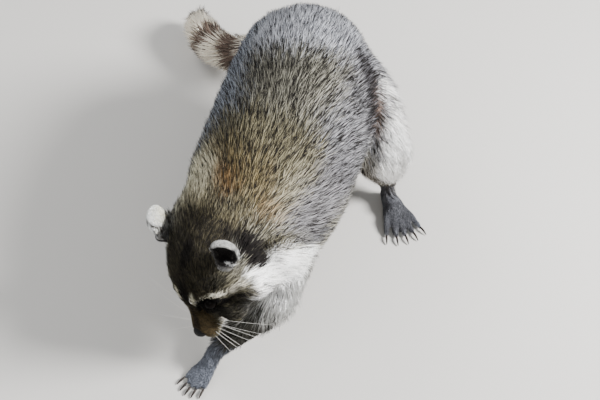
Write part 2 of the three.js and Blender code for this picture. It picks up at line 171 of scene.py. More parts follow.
BONE_NAMES = list(BONES)
*measures, bone_region = (np.array(column) for column in zip(*BONES.values()))
bone_start, bone_end, bone_thick, LOCK_LENGTH, SKIN_DEPTH, LOCK_WIDTH = (m * MM for m in measures)
print(len(BONE_NAMES), "bones")


# %% Blend what the bones say
SHARPNESS = 5.0  # how soon the nearest bone silences the others


def off_line(points, a, b):
    """How far each point is from the line between two ends."""
    along = np.clip((points - a) @ (b - a) / ((b - a) @ (b - a)), 0, 1)
    return np.linalg.norm(points - a - along[:, None] * (b - a), axis=1)


def bone_weights(points):
    """How much each bone has to say at each point: rows add up to one."""
    far = np.empty((len(points), len(BONE_NAMES)), np.float32)
    for i, (a, b, thick) in enumerate(zip(bone_start, bone_end, bone_thick)):
        far[:, i] = off_line(points, a, b) / thick
    weights = np.exp(-SHARPNESS * (far**2 - far.min(1, keepdims=True) ** 2))
    return weights / weights.sum(1, keepdims=True)


def region_share(weights, region):
    """How much of each point belongs to a region."""
    return weights[:, bone_region == region].sum(1)


# %% [markdown]
# ## One skin from many solids
# The frame's solids are cut apart with thin gaps, but an animal's skin has no seams. So the solids
# of flesh are filled into a grid of small cubes, which closes the gaps, and the grid is blurred,
# which melts the creases where a leg or the neck was joined on. Paws and ears are thin, so they are
# blurred far less than the trunk. The surface drawn around the blurred grid is the animal's
# outline, out to its fur tips.

# %% Read the solids of flesh
SEPARATE = ("eye", "nose")  # these stay pieces of their own, and so do the claws
flesh_nodes = [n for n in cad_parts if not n.startswith(SEPARATE) and "claw" not in n]


def triangles_of(obj):
    """An object's points and triangles as arrays."""
    mesh = obj.data
    mesh.calc_loop_triangles()
    points = np.empty(len(mesh.vertices) * 3, np.float32)
    mesh.vertices.foreach_get("co", points)
    corners = np.empty(len(mesh.loop_triangles) * 3, np.int32)
    mesh.loop_triangles.foreach_get("vertices", corners)
    matrix = np.array(obj.matrix_world, np.float32)
    return points.reshape(-1, 3) @ matrix[:3, :3].T + matrix[:3, 3], corners.reshape(-1, 3)


solids = [triangles_of(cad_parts[name]) for name in flesh_nodes]
first = np.cumsum([0] + [len(points) for points, _ in solids])
solid_points = np.concatenate([points for points, _ in solids])
solid_corners = np.concatenate([c + k for (_, c), k in zip(solids, first)]).astype(np.uint32)
print("flesh:", len(flesh_nodes), "solids,", len(solid_corners), "triangles")

# %% Fill them into a grid
CELL = 1.25 * MM
MARGIN = 8  # cells kept free around the animal

filled = vdb.FloatGrid.createLevelSetFromPolygons(
    solid_points / CELL, triangles=solid_corners, halfWidth=3)
lowest = np.floor(solid_points.min(0) / CELL).astype(int) - MARGIN
highest = np.ceil(solid_points.max(0) / CELL).astype(int) + MARGIN
grid = np.zeros(highest - lowest + 1, np.float32)
filled.copyToArray(grid, ijk=tuple(int(c) for c in lowest))
fill = np.clip(0.5 - 0.5 * grid, 0, 1)  # one inside the flesh, none outside
print("grid:", fill.shape)


# %% Blur it, more on the trunk than on the paws
SHARE_STEP = 6  # cells between the places where the bones are asked
BLUR = {"fine": 1, "middling": 3, "broad": 5}  # cells


def blurred(volume, cells):
    """A running mean over 2 * cells + 1 cells along each axis, taken twice."""
    width = 2 * cells + 1
    for axis in range(3):
        for _ in range(2):
            pad = [(0, 0)] * 3
            pad[axis] = (cells + 1, cells)
            total = np.cumsum(np.pad(volume, pad, mode="edge"), axis=axis, dtype=np.float32)
            upper, lower = [slice(None)] * 3, [slice(None)] * 3
            upper[axis], lower[axis] = slice(width, None), slice(0, -width)
            volume = (total[tuple(upper)] - total[tuple(lower)]) / width
    return volume


def spread(coarse, shape):
    """A coarse grid drawn out to a finer one, in straight lines between its cells."""
    for axis, size in enumerate(shape):
        at = np.linspace(0, coarse.shape[axis] - 1, size, dtype=np.float32)
        low = np.minimum(at.astype(int), coarse.shape[axis] - 2)
        part = (at - low).reshape([-1 if a == axis else 1 for a in range(3)])
        coarse = np.take(coarse, low, axis) * (1 - part) + np.take(coarse, low + 1, axis) * part
    return coarse


sizes = [max(2, int(math.ceil(s / SHARE_STEP))) for s in fill.shape]
lines = [np.linspace(0, s - 1, n) for s, n in zip(fill.shape, sizes)]
places = np.stack(np.meshgrid(*lines, indexing="ij"), -1).reshape(-1, 3)
weights = bone_weights(((places + lowest) * CELL).astype(np.float32))
thin = region_share(weights, "paw") + region_share(weights, "ear")
face = weights[:, BONE_NAMES.index("muzzle")] + weights[:, BONE_NAMES.index("chin")]
head_and_legs = region_share(weights, "head") + region_share(weights, "leg")
fine, middling = (spread(np.clip(share, 0, 1).reshape(sizes), fill.shape)
                  for share in (thin + face, head_and_legs))
middling = np.clip(middling - fine, 0, 1)
melted = blurred(fill, BLUR["fine"]) * fine
melted += blurred(fill, BLUR["middling"]) * middling
melted += blurred(fill, BLUR["broad"]) * np.clip(1 - fine - middling, 0, 1)
del grid, fine, middling  # they are large
print("blurred by", BLUR, "cells")

# %% [markdown]
# ## How deep a point lies
# From the outline comes a second, coarser grid that holds for each point how far inside the coat's
# tips it lies. Its slope points straight out of the body. The skin and every lock of fur use it:
# the skin is the outline moved inwards by the coat's depth, and a lock's tip is moved until it just
# reaches the outline.

# %% The depth below the tips of the coat
outline_grid = vdb.FloatGrid()
outline_grid.copyFromArray(melted, ijk=tuple(int(c) for c in lowest))
outline_points, outline_quads = outline_grid.convertToQuads(isovalue=0.5)
DEPTH_CELL = 2.5 * MM
DEPTH_REACH = 15  # cells measured on both sides of the outline
LONGEST_STEP = 12 * MM
measured = vdb.FloatGrid.createLevelSetFromPolygons(
    outline_points * (CELL / DEPTH_CELL), quads=outline_quads, halfWidth=DEPTH_REACH)
depth_lowest = np.floor(lowest * CELL / DEPTH_CELL).astype(int) - DEPTH_REACH
depth_shape = np.ceil((highest - lowest) * CELL / DEPTH_CELL).astype(int) + 2 * DEPTH_REACH
depth_grid = np.zeros(depth_shape, np.float32)
measured.copyToArray(depth_grid, ijk=tuple(int(c) for c in depth_lowest))
depth_grid *= -DEPTH_CELL  # positive inside
slope_grid = -np.stack(np.gradient(depth_grid, DEPTH_CELL), -1)  # outwards
print("outline:", len(outline_quads), "quads, depth grid", depth_grid.shape)


def sampled(volume, points):
    """A grid's value at any place, blended from the eight cells around it."""
    at = points / DEPTH_CELL - depth_lowest
    at = np.clip(at, 0, np.array(depth_grid.shape) - 1.001)
    low = at.astype(int)
    part = (at - low).astype(np.float32)
    total = 0
    for corner in np.ndindex(2, 2, 2):
        share = np.prod(np.where(corner, part, 1 - part), axis=1)
        value = volume[tuple((low + corner).T)]
        total = total + (share[:, None] * value if volume.ndim == 4 else share * value)
    return total


def outwards(points):
    """The direction straight out of the body."""
    slope = sampled(slope_grid, points)
    return slope / np.maximum(np.linalg.norm(slope, axis=1, keepdims=True), 1e-6)


def moved_to_depth(points, depth, steps=3):
    """Points moved straight in or out until they lie at that depth below the tips."""
    for _ in range(steps):
        short = depth - sampled(depth_grid, points)
        step = np.clip(short, -LONGEST_STEP, LONGEST_STEP)
        points = points - outwards(points) * step[:, None]
    return points


# %% [markdown]
# ## The skin
# The skin starts as the outline drawn with larger cells where it is flat, moves inwards by the
# coat's depth, and is smoothed a little along its edges, most on the trunk. Around each eye it is
# divided finer and shaped into lids: it dips behind the eyeball inside an almond-shaped opening and
# swells over its rim.

# %% Draw it and move it inwards
FLAT_ENOUGH = 0.012  # how far cells may be merged


def mesh_piece(name, points, faces):
    """A new piece of the scene with smooth shading."""
    mesh = bpy.data.meshes.new(name)
    mesh.from_pydata(points, [], faces)
    mesh.shade_smooth()
    return placed(name, mesh)


skin_points, skin_tris, skin_quads = outline_grid.convertToPolygons(
    isovalue=0.5, adaptivity=FLAT_ENOUGH)
skin_points = skin_points.astype(np.float32) * CELL
weights = bone_weights(skin_points)
skin_points = moved_to_depth(skin_points, weights @ SKIN_DEPTH)
skin_faces = [tuple(map(int, face)) for kind in (skin_tris, skin_quads) for face in kind]
skin = mesh_piece("skin", skin_points.tolist(), skin_faces)
skin_mesh = skin.data
print("skin:", len(skin_points), "points,", len(skin_faces), "faces")

# %% Smooth its edges
SMOOTHINGS = 14
SOFT_DEPTH = 14 * MM  # under a coat this deep the skin is smoothed in full

mesh_edges = np.empty(len(skin_mesh.edges) * 2, np.int32)
skin_mesh.edges.foreach_get("vertices", mesh_edges)
edge_a, edge_b = mesh_edges.reshape(-1, 2).T
count = len(skin_points)
neighbours = np.bincount(np.concatenate([edge_a, edge_b]), minlength=count)
softness = np.clip(weights @ (SKIN_DEPTH / SOFT_DEPTH), 0.08, 0.9)[:, None]
for _ in range(SMOOTHINGS):
    total = np.zeros_like(skin_points)
    for axis in range(3):
        total[:, axis] = (np.bincount(edge_a, skin_points[edge_b, axis], count)
                          + np.bincount(edge_b, skin_points[edge_a, axis], count))
    mean = total / neighbours[:, None]
    skin_points += softness * 0.5 * (mean - skin_points)
skin_mesh.vertices.foreach_set("co", skin_points.ravel())
print("smoothed", len(edge_a), "edges")

# %% [markdown]
# The eye is a ball of 16 mm that sits in its socket behind two lids. The opening between the lids
# is an almond, its inner corner low towards the nose and its outer corner high towards the ear.
# Points of the skin inside the almond are pushed in behind the ball, and those along its edge are
# drawn up just over the ball, where a real lid lies.

# %% Place the eyes and their openings
EYE_RADIUS = 8 * MM
EYE_PLACE = (28, -48, 3)  # in the head's frame, mirrored for the right eye
EYE_SUNK = 1.5 * MM
GAZE = (0.62, -0.77, -0.16)
TO_CORNER = (0.70, 0.60, 0.30)  # from the inner corner of the lids to the outer one
OPENING_HALF = (6.0 * MM, 3.4 * MM)
LID = 1.1 * MM  # a lid's height over the ball
UPPER_LID = 1.9  # how much lower than the lower one it closes the opening
SOCKET = 26 * MM  # nothing farther from the ball belongs to the eye


def eye_axes(side):
    """Centre, direction of gaze, direction to the outer corner and up of an eye."""
    centre = np.array(on_head(side * EYE_PLACE[0], *EYE_PLACE[1:]))
    gaze, outer = (head_axes @ np.array((side * x, y, z)) for x, y, z in (GAZE, TO_CORNER))
    gaze /= np.linalg.norm(gaze)
    centre -= EYE_SUNK * gaze
    outer -= gaze * (outer @ gaze)
    outer /= np.linalg.norm(outer)
    return centre, gaze, outer, np.cross(outer, gaze) * (1 if side < 0 else -1)


def place_in_opening(points, side):
    """One at the rim of the almond, less inside it; far off for points behind the head."""
    centre, gaze, outer, up = eye_axes(side)
    from_eye = points - centre
    across, height = from_eye @ outer / OPENING_HALF[0], from_eye @ up / OPENING_HALF[1]
    height = np.where(height > 0, height * UPPER_LID, height)
    almond = np.sqrt(across**2 + (height / np.clip(1.15 - 0.45 * across**2, 0.3, 1.15)) ** 2)
    near = (np.linalg.norm(from_eye, axis=1) < SOCKET) & (from_eye @ gaze > -EYE_RADIUS / 2)
    return np.where(near, almond, 9.0)


print("eyes at", [[round(c, 3) for c in eye_axes(side)[0]] for side in (1, -1)])

# %% Divide the skin finer round the eyes
FINE_SKIN, FINE_EDGE = 16 * MM, 0.5 * MM  # where edges are divided, and down to which length

work = bmesh.new()
work.from_mesh(skin_mesh)
for side in (1, -1):
    centre = Vector(eye_axes(side)[0])
    for _ in range(2):
        close = [e for e in work.edges if (e.verts[0].co - centre).length < FINE_SKIN
                 and e.calc_length() > FINE_EDGE]
        bmesh.ops.subdivide_edges(work, edges=close, cuts=1, use_grid_fill=True)
bmesh.ops.triangulate(work, faces=work.faces[:])
work.to_mesh(skin_mesh)
work.free()
skin_points = triangles_of(skin)[0].astype(float)
print("skin:", len(skin_points), "points")

# %% Shape the lids
LID_RING = 2.6  # the lids end at this many times the almond's size


def ease(value):
    """A soft step from zero to one."""
    value = np.clip(value, 0, 1)
    return value * value * (3 - 2 * value)


for side in (1, -1):
    centre, gaze, outer, up = eye_axes(side)
    almond = place_in_opening(skin_points, side)
    chosen = almond < LID_RING
    from_eye = skin_points[chosen] - centre
    flat = from_eye - np.outer(from_eye @ gaze, gaze)
    sideways = np.linalg.norm(flat, axis=1)
    ring = almond[chosen]
    reach = np.where(ring < 1, 0.78 * EYE_RADIUS, EYE_RADIUS + LID)
    reach = reach + (ease((ring - 0.9) / 0.2) - (ring >= 1)) * (0.22 * EYE_RADIUS + LID)
    height = np.sqrt(np.maximum(reach**2 - np.minimum(sideways, reach * 0.98) ** 2, 0))
    lidded = centre + flat + height[:, None] * gaze
    keep = ease((ring - 1.25) / 1.2)[:, None]
    skin_points[chosen] = lidded * (1 - keep) + skin_points[chosen] * keep
    print("a lid of", int(chosen.sum()), "points")

# %% Press in the line of the mouth
LIPS = [(0, -99, -42), (9, -91, -47), (16, -70, -47), (22, -46, -43)]
LIP_DEPTH, LIP_WIDTH = 1.4 * MM, 3.2 * MM
for side in (1, -1):
    line = [np.array(on_head(side * x, y, z)) for x, y, z in LIPS]
    for a, b in zip(line, line[1:]):
        press = LIP_DEPTH * ease(1 - off_line(skin_points, a, b) / LIP_WIDTH)
        close = press > 0
        skin_points[close] -= outwards(skin_points[close]) * press[close, None]
skin_mesh.vertices.foreach_set("co", skin_points.astype(np.float32).ravel())
skin_mesh.shade_smooth()
skin_mesh.update()
skin_tris = triangles_of(skin)[1]
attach(skin, "root")
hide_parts(*flesh_nodes)
print("skin done:", len(skin_tris), "triangles")

# %% [markdown]
# ## The markings
# A raccoon's hairs are banded: dark grey at the root, a pale band, and a tip that is black on many
# hairs and pale on others. The mix of dark and pale tips makes the grizzled look, and the colour of
# the pale band makes the markings. So a marking here is a line with a width, the colour of the pale
# band around it and the share of hairs with black tips. The head's markings are stated in the
# head's frame and mirrored. Some markings are painted light and shade, not the coat's own colour:
# sunlit white on the thigh, knee and neck edge, painted shade in the thigh's crease, under the
# shoulder, on the inner arm, under the mask and in the ears' hollows, and a blue cast of sky light
# on the right flank and the rump.

# %% The grounds and the body's markings
def paint(*colour):
    """A colour as a painter would name it, 0 to 255, in the linear values that a shader wants."""
    return np.array([(c / 255 / 12.92 if c < 11 else ((c / 255 + 0.055) / 1.055) ** 2.4)
                     for c in colour])


GROUND = {  # region: colour of the pale band, share of black tips
    "back": ((166, 162, 148), 0.52),
    "thigh": ((186, 180, 170), 0.34),
    "leg": ((100, 94, 84), 0.34),
    "paw": ((104, 110, 120), 0.10),
    "tail": ((255, 246, 228), 0.04),
    "head": ((104, 98, 76), 0.58),
    "ear": ((246, 246, 244), 0.0),
}
BODY_MARKINGS = {  # start, end, radius, soft edge (mm), colour, black tips, strength
    "saddle": ((10, -70, 262), (24, 60, 262), 22, 62, (134, 131, 118), 0.66, 0.9),
    # grey rump with a painted cool cast of sky light
    "rump_grey_and_painted_sky_tint": ((-10, 110, 240), (50, 120, 232), 56, 50, (210, 212, 220), 0.28, 0.92),
    # grey flank with a painted blue cast of sky light in shade
    "flank_right_grey_and_sky_shade": ((-72, -60, 205), (-80, 110, 180), 40, 40, (152, 160, 174), 0.52, 0.9),
    "flank_left": ((112, -70, 200), (116, 60, 176), 34, 40, (160, 160, 166), 0.56, 0.85),
    "shoulder": ((-20, -130, 230), (40, -150, 232), 36, 50, (132, 124, 96), 0.60, 0.9),
    "shoulder_pale": ((58, -176, 214), (70, -150, 208), 12, 30, (164, 158, 138), 0.34, 0.8),
    "shoulder_grey": ((84, -190, 184), (104, -110, 192), 20, 24, (136, 134, 138), 0.46, 0.9),
    # painted sunlight along the right edge of the neck
    "neck_edge_painted_sunlight": ((-58, -150, 206), (-58, -200, 202), 20, 24, (250, 244, 212), 0.12, 0.92),
    "nape_yellow": ((-30, -150, 220), (10, -176, 226), 16, 40, (124, 104, 64), 0.6, 0.6),
    "nape_rust": ((-28, -156, 221), (-16, -172, 223), 3, 20, (146, 98, 46), 0.44, 0.5),
    "withers_rust": ((36, -192, 212), (46, -196, 208), 3, 16, (176, 136, 88), 0.40, 0.4),
    "belly": ((10, -130, 66), (20, 120, 66), 34, 30, (150, 140, 124), 0.12, 0.9),
    "chest": ((20, -205, 110), (10, -170, 78), 30, 26, (196, 192, 184), 0.08, 0.9),
    "collar": ((86, -206, 140), (74, -216, 116), 19, 14, (252, 252, 250), 0.02, 0.97),
    "sleeve": ((74, -232, 106), (54, -246, 98), 18, 14, (252, 252, 250), 0.03, 0.92),
    "sleeve_inner": ((44, -244, 98), (38, -250, 88), 7, 9, (214, 212, 208), 0.14, 0.85),
    # painted sunlight along the right edge of the neck, lower down
    "neck_edge_low_painted_sunlight": ((-50, -142, 215), (-60, -190, 200), 9, 12, (222, 214, 186), 0.2, 0.85),
    # painted shade below the side of the left shoulder
    "shoulder_painted_shade": ((91, -191, 161), (106, -170, 158), 7, 9, (84, 84, 88), 0.5, 0.85),
    "ear_root": ((-67, -192, 190), (-69, -216, 176), 2.5, 4, (10, 9, 9), 1.0, 0.95),
    "ear_left": ((-8, -259, 204), (11, -257, 226), 12, 6, (200, 198, 194), 0.0, 0.75),
    # painted shade on the inner upper arm, under the head
    "inner_arm_painted_shade": ((12, -252, 74), (24, -250, 82), 13, 10, (92, 92, 84), 0.4, 0.9),
    # painted shade in the crease between the body and the left thigh
    "thigh_crease_painted_shade": ((104, 74, 210), (130, 6, 172), 9, 13, (78, 74, 78), 0.7, 0.9),
    "thigh_brown": ((128, 56, 192), (141, 4, 160), 4, 11, (132, 106, 88), 0.42, 0.75),
    # painted sunlight: the outer side of the thigh and knee is painted white where the sun falls
    "thigh_painted_sunlight": ((146, 80, 178), (172, 16, 156), 15, 13, (252, 250, 247), 0.02, 0.97),
    "knee_painted_sunlight": ((172, 16, 152), (168, -16, 96), 24, 18, (255, 254, 252), 0.0, 1.0),
    "shank_dark": ((128, -14, 90), (148, 28, 44), 13, 13, (88, 80, 66), 0.4, 0.8),
    "forearm": ((44, -236, 66), (-6, -266, 32), 19, 14, (68, 68, 62), 0.3, 0.85),
    "wrist": ((-8, -272, 24), (-26, -304, 12), 16, 12, (108, 112, 122), 0.05, 0.9),
    "hind_foot": ((145, 36, 12), (196, -50, 4), 24, 8, (82, 82, 86), 0.12, 0.9),
}
print(len(BODY_MARKINGS), "markings on the body")

# %% The head's and the tail's markings
HEAD_MARKINGS = {
    "crown_fade": ((0, 40, 32), (26, 42, 20), 12, 22, (120, 110, 82), 0.56, 0.8),
    "forehead": ((0, -30, 38), (0, 8, 44), 38, 20, (66, 61, 46), 0.66, 0.95),
    "temple": ((60, -3, 11), (66, 2, 8), 4, 8, (146, 141, 126), 0.34, 0.85),
    "cheek_front": ((70, 2, 6), (84, 12, -14), 5, 7, (252, 251, 248), 0.0, 1.0),
    "cheek_white": ((86, 6, -20), (80, 20, -46), 19, 12, (255, 254, 252), 0.0, 1.0),
    "ruff": ((72, -30, -44), (80, -4, -56), 20, 14, (226, 225, 224), 0.08, 0.95),
    "cheek_edge": ((70, -15, 1), (82, -15, -11), 3.5, 5, (176, 170, 156), 0.2, 0.8),
    "cheek_back": ((84, 58, -42), (86, 54, -66), 5, 9, (122, 120, 118), 0.4, 0.85),
    "throat": ((0, -36, -58), (0, 10, -66), 30, 16, (190, 188, 182), 0.08, 0.9),
    "forehead_side": ((40, -25, 28), (48, -18, 21), 5, 6, (46, 44, 34), 0.7, 0.9),
    "behind_ear": ((34, 38, 20), (52, 35, 8), 4, 12, (44, 40, 34), 0.76, 0.85),
    "below_ear": ((50, 36, 5), (70, 26, -2), 11, 5, (7, 6, 7), 1.0, 1.0),
    "beside_ear": ((56, 28, 9), (66, 17, 6), 6, 4, (9, 8, 8), 1.0, 1.0),
    "stripe": ((2, 14, 44), (3, -58, 18), 3.4, 4, (20, 16, 12), 1.0, 0.95),
    "mask": ((20, -58, 10), (44, -44, 1), 9.5, 3, (6, 5, 5), 1.0, 1.0),
    "mask_under": ((18, -63, -2), (36, -54, -8), 7, 4, (8, 7, 7), 1.0, 1.0),
    "mask_outer": ((46, -41, -2), (62, -30, -8), 5.5, 4, (8, 7, 7), 1.0, 1.0),
    "mask_end": ((62, -30, -8), (74, -22, -9), 4, 5, (44, 40, 34), 0.9, 0.95),
    # painted shade under the mask, on the lower cheek
    "under_mask_painted_shade": ((34, -58, -24), (54, -38, -28), 10, 7, (42, 40, 33), 0.6, 0.9),
    "brow_inner": ((14, -47, 25), (12, -60, 12), 2.4, 2.4, (232, 226, 202), 0.0, 1.0),
    "brow": ((25, -49, 19), (40, -37, 18), 2.4, 3, (222, 217, 196), 0.0, 1.0),
    "brow_middle": ((40, -37, 18), (54, -25, 4), 2.8, 3, (228, 222, 204), 0.0, 1.0),
    "brow_outer": ((54, -25, 4), (68, -9, 6), 4, 5, (206, 200, 184), 0.08, 0.95),
    "muzzle": ((10, -70, -12), (14, -86, -28), 9, 7, (84, 70, 46), 0.46, 0.9),
    "bridge": ((0, -62, 8), (0, -88, -18), 4.5, 4, (40, 30, 20), 0.8, 0.9),
    "lip_white": ((15, -92, -42), (26, -66, -44), 4, 5, (128, 122, 104), 0.1, 0.9),
    "chin_white": ((0, -84, -54), (10, -50, -54), 9, 5, (206, 200, 190), 0.0, 0.9),
}
ON_HEAD_TOO = ("shoulder", "nape_rust", "neck_edge_low_painted_sunlight", "shoulder_painted_shade", "ear_root")
EAR_BACK, EAR_CUP_SHADE = (7, 6, 6), (20, 17, 16)  # the black behind the ear and painted shade in its hollow
TAIL = ("tail_root", "tail_bend", "tail_end")
TAIL_LINE = np.array([BONES[bone][0] for bone in TAIL] + [BONES[TAIL[-1]][1]]) * MM
TAIL_RINGS = ((0, 34), (58, 27), (112, 27), (167, 35), (227, 27))  # starts and widths, mm
RING_COLOUR, RING_EDGE, TAIL_TIP = (124, 106, 94), 3, 291
print(len(HEAD_MARKINGS), "markings on each side of the head,", len(TAIL_RINGS), "rings")


# %% Lay the markings over each other
def tail_place(points):
    """How far along the tail a point lies, in millimetres from its root."""
    best, place, done = np.full(len(points), 9.0), np.zeros(len(points)), 0
    for k, (a, b) in enumerate(zip(TAIL_LINE, TAIL_LINE[1:])):
        length = np.linalg.norm(b - a)
        along = (points - a) @ (b - a) / length
        held = np.clip(along, 0, length)
        away = np.linalg.norm(points - a - held[:, None] * (b - a) / length, axis=1)
        closer = away < best
        best[closer] = away[closer]
        past_tip = np.maximum(along - length, 0) * (k == len(TAIL_LINE) - 2)
        place[closer] = (done + held + past_tip)[closer]
        done += length
    return place / MM


RAGGED = 0.22  # how far a marking's edge wavers, in shares of its soft edge


def markings(points, weights, normal, rng):
    """The pale band's colour and the share of black tips at each point."""
    colour, dark = np.zeros((len(points), 3)), np.zeros(len(points))
    for region, (ground, share) in GROUND.items():
        here = region_share(weights, region)
        colour += here[:, None] * paint(*ground)
        dark += here * share

    def cover_with(cover, hue, share):
        colour[:] = colour * (1 - cover[:, None]) + paint(*hue) * cover[:, None]
        dark[:] = dark * (1 - cover) + share * cover

    def lay(places, start, end, radius, soft, hue, share, strength, within=1.0):
        away = off_line(places, np.array(start, float), np.array(end, float))
        away += rng.normal(0, RAGGED * soft, len(away))
        cover_with(strength * within * ease((radius + soft - away) / soft), hue, share)

    head = np.clip(1.6 * region_share(weights, "head"), 0, 1)
    off_ear = 1 - region_share(weights, "ear")
    for name, marking in BODY_MARKINGS.items():
        lay(points / MM, *marking, within=1 - head if name not in ON_HEAD_TOO else 1)
    at_head = in_head(points)
    at_head[:, 0] = np.abs(at_head[:, 0])
    for name, marking in HEAD_MARKINGS.items():
        lay(at_head, *marking, within=off_ear)
    tail = ease((region_share(weights, "tail") - 0.4) / 0.4)
    place = tail_place(points) + rng.normal(0, 1.6, len(points))
    ring = sum(ease((width / 2 + RING_EDGE - np.abs(place - start - width / 2)) / (2 * RING_EDGE))
               for start, width in TAIL_RINGS)
    ring = np.clip(np.maximum(ring, ease((place - TAIL_TIP) / 8)), 0, 1) * tail
    cover_with(ring, RING_COLOUR, 0.3 + 0.5 * ease((place - TAIL_TIP + 6) / 20))
    to_left = (points - np.array(HEAD_CENTRE)) @ head_axes[:, 0]
    for side in (1, -1):
        frame_of_ear = np.array(ear_frame(side).inverted())
        at_ear = (points @ frame_of_ear[:3, :3].T + frame_of_ear[:3, 3]) / MM
        ear = region_share(weights, "ear") * (to_left * side > 0)
        height = at_ear[:, 2] / EAR_HEIGHT
        edge = 0.64 - (0.007 * at_ear[:, 0] if side < 0 else 0)  # the black of its back ends aslant
        back = ear * ease((at_ear[:, 1] + 1) / 4) * ease((edge - height) / 0.16)
        facing = -normal @ (np.array(ear_frame(side))[:3, 1])
        # painted shade in the ear's hollow, on the side that faces out of its opening
        cup_shade = ear * ease((facing - 0.1) / 0.5) * ease((0.86 - height) / 0.14)
        cup_shade *= ease((17 - np.abs(at_ear[:, 0])) / 4) * (at_ear[:, 1] < 6)
        cover_with(back, EAR_BACK, 0.9)
        cover_with(cup_shade, EAR_CUP_SHADE, 0.9)
    return colour, np.clip(dark, 0, 1)


# %% Paint the skin
BAND_HEIGHT = 0.42  # where along a hair its pale band is
DOWNWARDS = -0.45  # a paw's surface that faces down more than this is bare


def add_values(mesh, **layers):
    """A value, or a colour, for each point of a mesh, under a name that its material reads."""
    for name, values in layers.items():
        if np.ndim(values) == 2:
            layer = mesh.attributes.new(name, "FLOAT_COLOR", "POINT")
            values = np.concatenate([values, np.ones((len(values), 1))], 1)
        else:
            layer = mesh.attributes.new(name, "FLOAT", "POINT")
        key = "color" if np.ndim(values) == 2 else "value"
        layer.data.foreach_set(key, np.ascontiguousarray(values, np.float32).ravel())


rng = np.random.default_rng(7)
weights, normal = bone_weights(skin_points), outwards(skin_points)
band, dark = markings(skin_points, weights, normal, rng)
count = len(skin_points)
bare = region_share(weights, "paw") * (normal[:, 2] < DOWNWARDS)
for side in (1, -1):
    bare = np.maximum(bare, ease((1.5 - place_in_opening(skin_points, side)) / 0.3))
add_values(skin_mesh, band=band, dark_tips=dark, along=np.full(count, BAND_HEIGHT),
           chance=rng.random(count), tone=rng.random(count), bare=bare)
print("skin painted")

# %% [markdown]
# ## The coat
# Fur could be particle hair, but a part that others reuse needs real surfaces. So the coat is made
# of solid locks, each a thin blade with three sides that narrows to a point, about as wide as the
# tufts into which real guard hairs gather. A lock starts just under the skin, lies along the body
# the way the coat lies, and its tip reaches the animal's outline. Every region has its own length
# and width of lock: long on the tail, cheeks and rump, and tiny on the face, ears and feet. The
# blades are so thin and so many that their arrays are computed with numpy and handed to Blender as
# one mesh for each region. Locks gather in small clumps, and six sets of longer guard hairs stand
# over the coat, such as in the ruff, at the breeches and on the tail.

# %% Where the locks grow
def both(*bones):
    """These bones of the left side and of the right one."""
    return tuple(f"{bone}_{side}" for bone in bones for side in SIDES)


COAT = {  # piece: bones, locks for each square centimetre, material slot
    "coat_shoulders": (("shoulders",), 38, "back_coat"),
    "coat_ribs": (("ribs",), 36, "back_coat"),
    "coat_loins": (("loins",), 38, "back_coat"),
    "coat_rump": (("rump", "thigh_right"), 36, "back_coat"),
    "coat_thigh": (("thigh_left",), 38, "leg_coat"),
    "coat_nape": (("neck",), 42, "nape_coat"),
    "coat_legs": (both("upper_arm", "forearm", "shank"), 41, "leg_coat"),
    "coat_paws": (both("forepaw", "hindfoot"), 60, "leg_coat"),
    "coat_face": (("skull", "muzzle", "chin"), 80, "face_coat"),
    "coat_cheeks": (both("cheek", "jowl"), 74, "face_coat"),
    "coat_ears": (both("ear"), 145, "ear_coat"),
    "coat_tail": (TAIL, 44, "tail_coat"),
}
# the same, then how much longer, proud (mm), hang, and perhaps a place and its reach (mm)
GUARD_HAIRS = {
    "ruff": (both("cheek"), 13, "face_coat", 1.55, 6, 0.9),
    "sleeve": (("upper_arm_left",), 13, "leg_coat", 1.55, 6, 0.5),
    "elbow": (("forearm_left", "upper_arm_left"), 34, "leg_coat", 1.5, 7, 0.0, ((0, -250, 68), 30)),
    "breeches": (both("thigh"), 9, "leg_coat", 1.25, 5, 0.1),
    "mantle": (("shoulders", "ribs", "loins", "rump", "neck"), 3, "back_coat", 1.1, 1.5, 0.0),
    "brush": (TAIL, 5, "tail_coat", 1.0, 2.5, 0.0),
}
PIECES = {**COAT, **GUARD_HAIRS}
print(len(COAT), "pieces of coat and", len(GUARD_HAIRS), "of guard hairs")

# %% Spread their roots over the skin
MOST_LOCKS = 19500  # of ten triangles each, in one piece
SQUARE_CM = 1e-4
NOSE_BARE = 7.8 * MM  # round the middle of the nose pad
ROUND_EYE = 1.3  # bare out to this many times the almond's size

a, b, c = (skin_points[skin_tris[:, k]] for k in range(3))
face_area = np.linalg.norm(np.cross(b - a, c - a), axis=1) / 2
face_bone = bone_weights((a + b + c) / 3).argmax(1)


def roots_on(bones, density, rng):
    """Even random places on the part of the skin that belongs to some bones."""
    faces = np.flatnonzero(np.isin(face_bone, [BONE_NAMES.index(n) for n in bones]))
    area = face_area[faces]
    count = min(int(area.sum() / SQUARE_CM * density), MOST_LOCKS)
    start = (np.arange(count) + rng.random(count)) / count
    chosen = faces[np.searchsorted(np.cumsum(area) / area.sum(), start).clip(0, len(faces) - 1)]
    u, v = np.sqrt(rng.random(count)), rng.random(count)
    corners = skin_tris[chosen]
    places = (skin_points[corners[:, 0]] * (1 - u)[:, None]
              + skin_points[corners[:, 1]] * (u * (1 - v))[:, None]
              + skin_points[corners[:, 2]] * (u * v)[:, None])
    normal = outwards(places)
    bare = region_share(bone_weights(places), "paw") * (normal[:, 2] < DOWNWARDS) > 0.5
    for side in (1, -1):
        bare |= place_in_opening(places, side) < ROUND_EYE
    bare |= np.linalg.norm(places - np.array(NOSE), axis=1) < NOSE_BARE
    bare |= places[:, 2] < 0.5 * MM
    return places[~bare]


